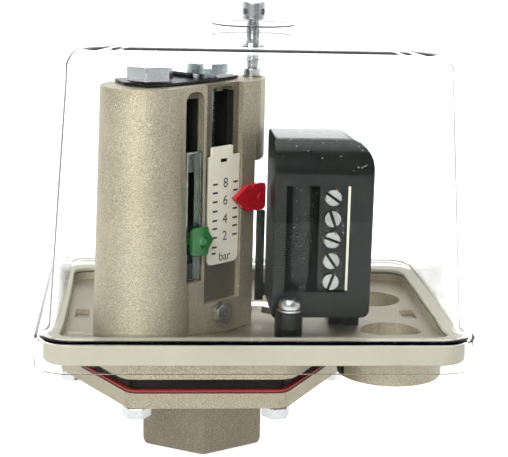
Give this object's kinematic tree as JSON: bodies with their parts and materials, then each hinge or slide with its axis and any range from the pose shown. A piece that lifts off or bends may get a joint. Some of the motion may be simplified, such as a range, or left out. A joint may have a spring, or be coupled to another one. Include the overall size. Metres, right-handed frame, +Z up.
{
  "type": "pressure switch",
  "caption": "Diaphragm pressure switch: clear hood over a spring tower with scale and pointers, terminal block, hexagonal pressure flange and screwed port.",
  "frame": {"origin": "centre of the bounding box's bottom: under the cover's centre, level with the mouth of the pressure port", "axes": "+Z up along the pressure port's axis, -Y the side with the scale and the terminals, +X from the spring tower towards the cable entries"},
  "size_m": [0.136, 0.108, 0.1466],
  "materials": {
    "cast_metal": "die-cast, fine sparkle",
    "zinc_steel": "zinc plated",
    "bright_steel": "bright drawn strip",
    "spring_steel": "drawn wire",
    "blackened_steel": "blackened",
    "clear_plastic": "clear injection-moulded plastic",
    "seal": "cream foam seal",
    "red_plastic": "glossy",
    "green_plastic": "glossy",
    "scale_card": "printed plate",
    "black_plastic": "moulded, glossy",
    "red_rubber": "matt",
    "brass": "plain"
  },
  "bodies": {
    "base": {"base_housing": "cast_metal", "cover_seal": "seal", "spring_tower": "cast_metal", "tower_bolt": "zinc_steel", "screw_collar": "zinc_steel", "lock_plate": "blackened_steel", "guide_bar": "black_plastic", "pointer_guide": "bright_steel", "scale_plate": "scale_card", "pressure_flange": "cast_metal", "diaphragm": "red_rubber", "rocker_pin": "blackened_steel", "switch_block": "black_plastic", "terminal_strip": "black_plastic", "block_screw": "zinc_steel", "block_screw_washer": "zinc_steel", "flange_bolt_1": "zinc_steel", "flange_bolt_2": "zinc_steel", "flange_bolt_3": "zinc_steel", "flange_bolt_4": "zinc_steel", "flange_bolt_5": "zinc_steel", "flange_bolt_6": "zinc_steel"},
    "cover": {"clear_cover": "clear_plastic", "cover_screw_clip": "zinc_steel"},
    "cover_screw": {"cover_screw": "zinc_steel"},
    "main_screw": {"main_adjusting_screw": "zinc_steel"},
    "main_nut": {"main_spring_nut": "zinc_steel", "green_pointer": "green_plastic", "main_spring": "spring_steel"},
    "differential_screw": {"differential_screw": "zinc_steel"},
    "differential_nut": {"differential_nut": "zinc_steel", "red_pointer": "red_plastic", "differential_spring": "spring_steel"},
    "pressure_plate": {"diaphragm_plate": "zinc_steel"},
    "rocker": {"rocker_lever": "zinc_steel"},
    "plunger": {"switch_plunger": "black_plastic"},
    "contact_arm": {"contact_arm": "brass"},
    "terminal_screw_1": {"terminal_screw_1": "zinc_steel"},
    "terminal_clamp_1": {"terminal_clamp_1": "brass"},
    "terminal_screw_2": {"terminal_screw_2": "zinc_steel"},
    "terminal_clamp_2": {"terminal_clamp_2": "brass"},
    "terminal_screw_3": {"terminal_screw_3": "zinc_steel"},
    "terminal_clamp_3": {"terminal_clamp_3": "brass"},
    "terminal_screw_4": {"terminal_screw_4": "zinc_steel"},
    "terminal_clamp_4": {"terminal_clamp_4": "brass"},
    "terminal_screw_5": {"terminal_screw_5": "zinc_steel"},
    "terminal_clamp_5": {"terminal_clamp_5": "brass"}
  },
  "joints": [
    {"name": "cover_lift", "type": "slide", "parent": "base", "child": "cover", "axis": [0, 0, 1], "range_m": [0, 0.1]},
    {"name": "cover_screw_turn", "type": "hinge", "parent": "cover", "child": "cover_screw", "pos_m": [0, 0, 0.1428], "axis": [0, 0, 1], "continuous": true},
    {"name": "main_screw_turn", "type": "hinge", "parent": "base", "child": "main_screw", "pos_m": [-0.03335, -0.02905, 0.1258], "axis": [0, 0, 1], "range_deg": [-4800, 1380]},
    {"name": "main_nut_slide", "type": "slide", "parent": "base", "child": "main_nut", "axis": [0, 0, 1], "range_m": [-0.0048, 0.0168], "deforming": ["main_spring"]},
    {"name": "differential_screw_turn", "type": "hinge", "parent": "base", "child": "differential_screw", "pos_m": [-0.01529, -0.01425, 0.1258], "axis": [0, 0, 1], "range_deg": [-1940, 4100]},
    {"name": "differential_nut_slide", "type": "slide", "parent": "base", "child": "differential_nut", "axis": [0, 0, 1], "range_m": [-0.0115, 0.0055], "deforming": ["differential_spring"]},
    {"name": "pressure_stroke", "type": "slide", "parent": "base", "child": "pressure_plate", "axis": [0, 0, 1], "range_m": [0, 0.00025], "stiffness_N_per_m": 2000, "springref_m": -0.0005},
    {"name": "rocker_tilt", "type": "hinge", "parent": "base", "child": "rocker", "pos_m": [-0.01163, -0.01084, 0.0492], "axis": [0.682, -0.7314, 0], "range_deg": [0, 2.85]},
    {"name": "plunger_slide", "type": "slide", "parent": "base", "child": "plunger", "axis": [0, 0, 1], "range_m": [0, 0.00085]},
    {"name": "contact_arm_tilt", "type": "hinge", "parent": "base", "child": "contact_arm", "pos_m": [0.0224, -0.01, 0.0617], "axis": [0, 1, 0], "range_deg": [0, 4]},
    {"name": "terminal_screw_1_turn", "type": "hinge", "parent": "base", "child": "terminal_screw_1", "pos_m": [0.0239, -0.029, 0.08842], "axis": [0, -1, 0], "range_deg": [-1400, 280]},
    {"name": "terminal_clamp_1_slide", "type": "slide", "parent": "base", "child": "terminal_clamp_1", "axis": [0, -1, 0], "range_m": [-0.0004, 0.002]},
    {"name": "terminal_screw_2_turn", "type": "hinge", "parent": "base", "child": "terminal_screw_2", "pos_m": [0.0239, -0.029, 0.08169], "axis": [0, -1, 0], "range_deg": [-1400, 280]},
    {"name": "terminal_clamp_2_slide", "type": "slide", "parent": "base", "child": "terminal_clamp_2", "axis": [0, -1, 0], "range_m": [-0.0004, 0.002]},
    {"name": "terminal_screw_3_turn", "type": "hinge", "parent": "base", "child": "terminal_screw_3", "pos_m": [0.0239, -0.029, 0.07496], "axis": [0, -1, 0], "range_deg": [-1400, 280]},
    {"name": "terminal_clamp_3_slide", "type": "slide", "parent": "base", "child": "terminal_clamp_3", "axis": [0, -1, 0], "range_m": [-0.0004, 0.002]},
    {"name": "terminal_screw_4_turn", "type": "hinge", "parent": "base", "child": "terminal_screw_4", "pos_m": [0.0239, -0.029, 0.06823], "axis": [0, -1, 0], "range_deg": [-1400, 280]},
    {"name": "terminal_clamp_4_slide", "type": "slide", "parent": "base", "child": "terminal_clamp_4", "axis": [0, -1, 0], "range_m": [-0.0004, 0.002]},
    {"name": "terminal_screw_5_turn", "type": "hinge", "parent": "base", "child": "terminal_screw_5", "pos_m": [0.0239, -0.029, 0.0615], "axis": [0, -1, 0], "range_deg": [-1400, 280]},
    {"name": "terminal_clamp_5_slide", "type": "slide", "parent": "base", "child": "terminal_clamp_5", "axis": [0, -1, 0], "range_m": [-0.0004, 0.002]}
  ],
  "couplings": [
    {"joint": "main_nut_slide", "follows": "main_screw_turn", "m_per_rad": -0.00019894},
    {"joint": "differential_nut_slide", "follows": "differential_screw_turn", "m_per_rad": -0.00015915},
    {"joint": "rocker_tilt", "follows": "pressure_stroke", "rad_per_m": 194.17},
    {"joint": "plunger_slide", "follows": "pressure_stroke", "ratio": 3.2542},
    {"joint": "contact_arm_tilt", "follows": "pressure_stroke", "rad_per_m": 273.46},
    {"joint": "terminal_clamp_1_slide", "follows": "terminal_screw_1_turn", "m_per_rad": -0.000079577},
    {"joint": "terminal_clamp_2_slide", "follows": "terminal_screw_2_turn", "m_per_rad": -0.000079577},
    {"joint": "terminal_clamp_3_slide", "follows": "terminal_screw_3_turn", "m_per_rad": -0.000079577},
    {"joint": "terminal_clamp_4_slide", "follows": "terminal_screw_4_turn", "m_per_rad": -0.000079577},
    {"joint": "terminal_clamp_5_slide", "follows": "terminal_screw_5_turn", "m_per_rad": -0.000079577}
  ]
}
